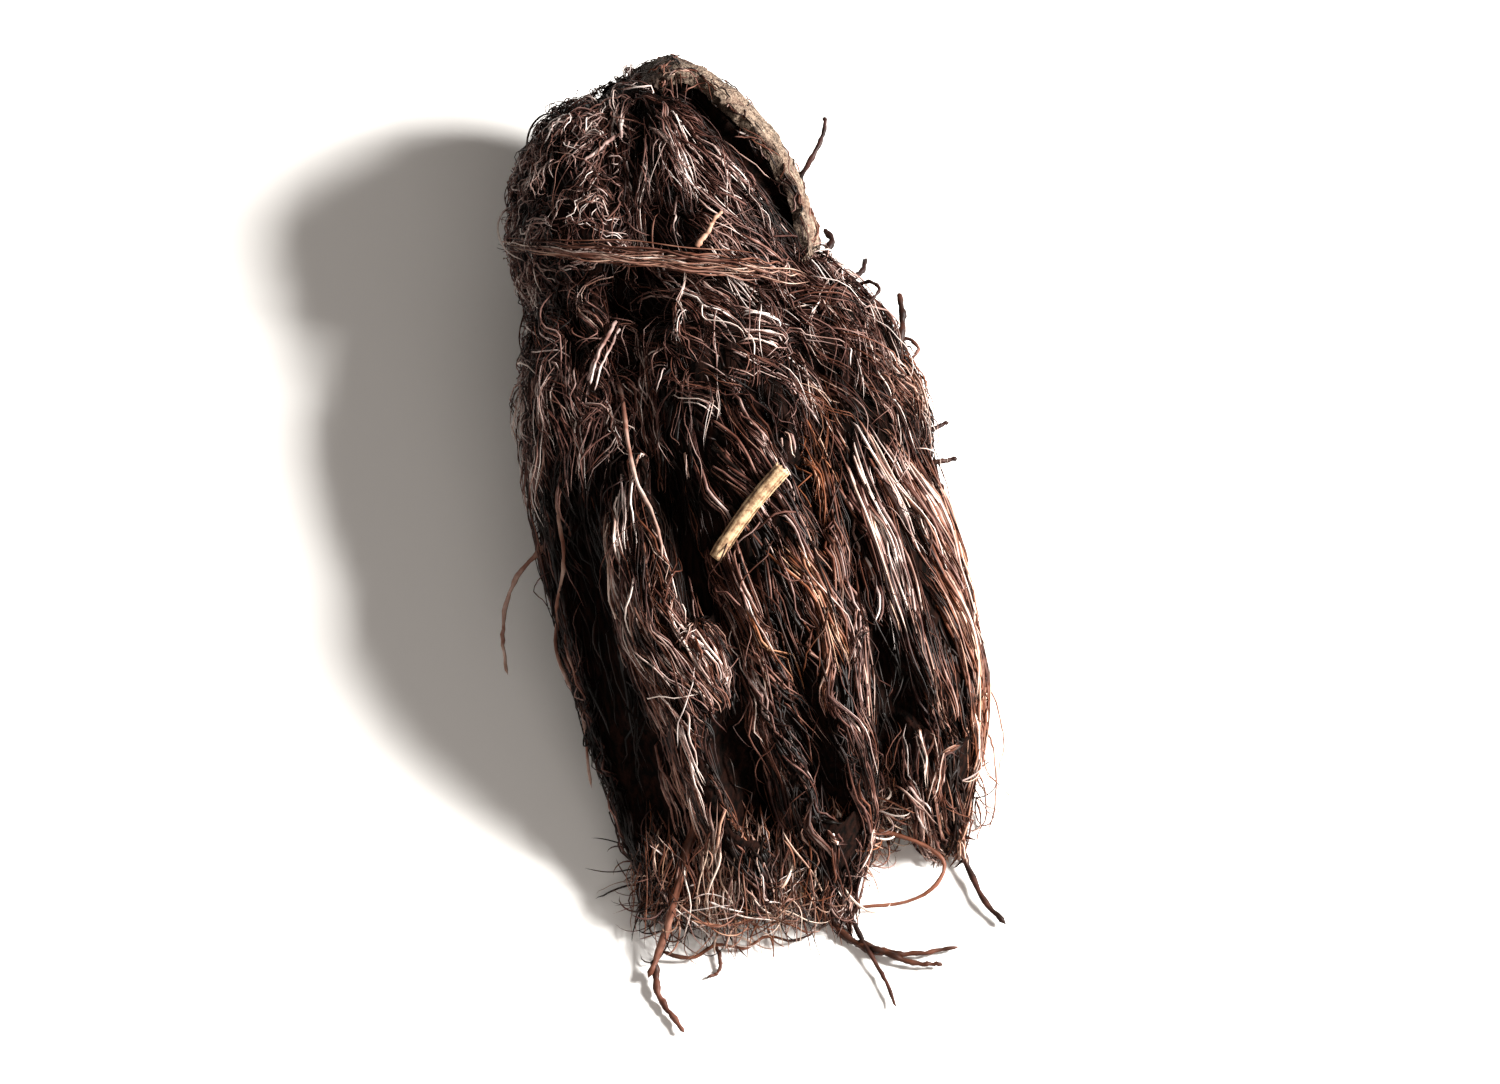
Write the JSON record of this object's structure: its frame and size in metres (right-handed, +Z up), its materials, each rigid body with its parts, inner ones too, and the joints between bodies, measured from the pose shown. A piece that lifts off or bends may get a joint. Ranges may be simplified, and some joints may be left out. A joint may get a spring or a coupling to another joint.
{
  "type": "jatamansi root",
  "caption": "Dried jatamansi rootstock: a rounded crown and a long lean bunch of coarse brown fibres that frays at the foot, lying on its side.",
  "frame": {"origin": "the middle of the flat spot on the underside that the root rests on", "axes": "+Y towards the crown, -Y towards the frayed foot, +Z up off the table, +X to the right seen from the foot"},
  "size_m": [0.0503, 0.103, 0.0276],
  "materials": {
    "root_fibre": "dry matt fibre with a slight gloss on each strand",
    "bark": "dry rough bark",
    "wisp_fibre": "dry fibre, slightly glossy",
    "dry_stalk": "dry straw"
  },
  "bodies": {
    "root": {"rootstock": "root_fibre", "bark_sheath": "bark", "fibre_wisp": "wisp_fibre", "cut_stalk": "dry_stalk"}
  },
  "joints": []
}
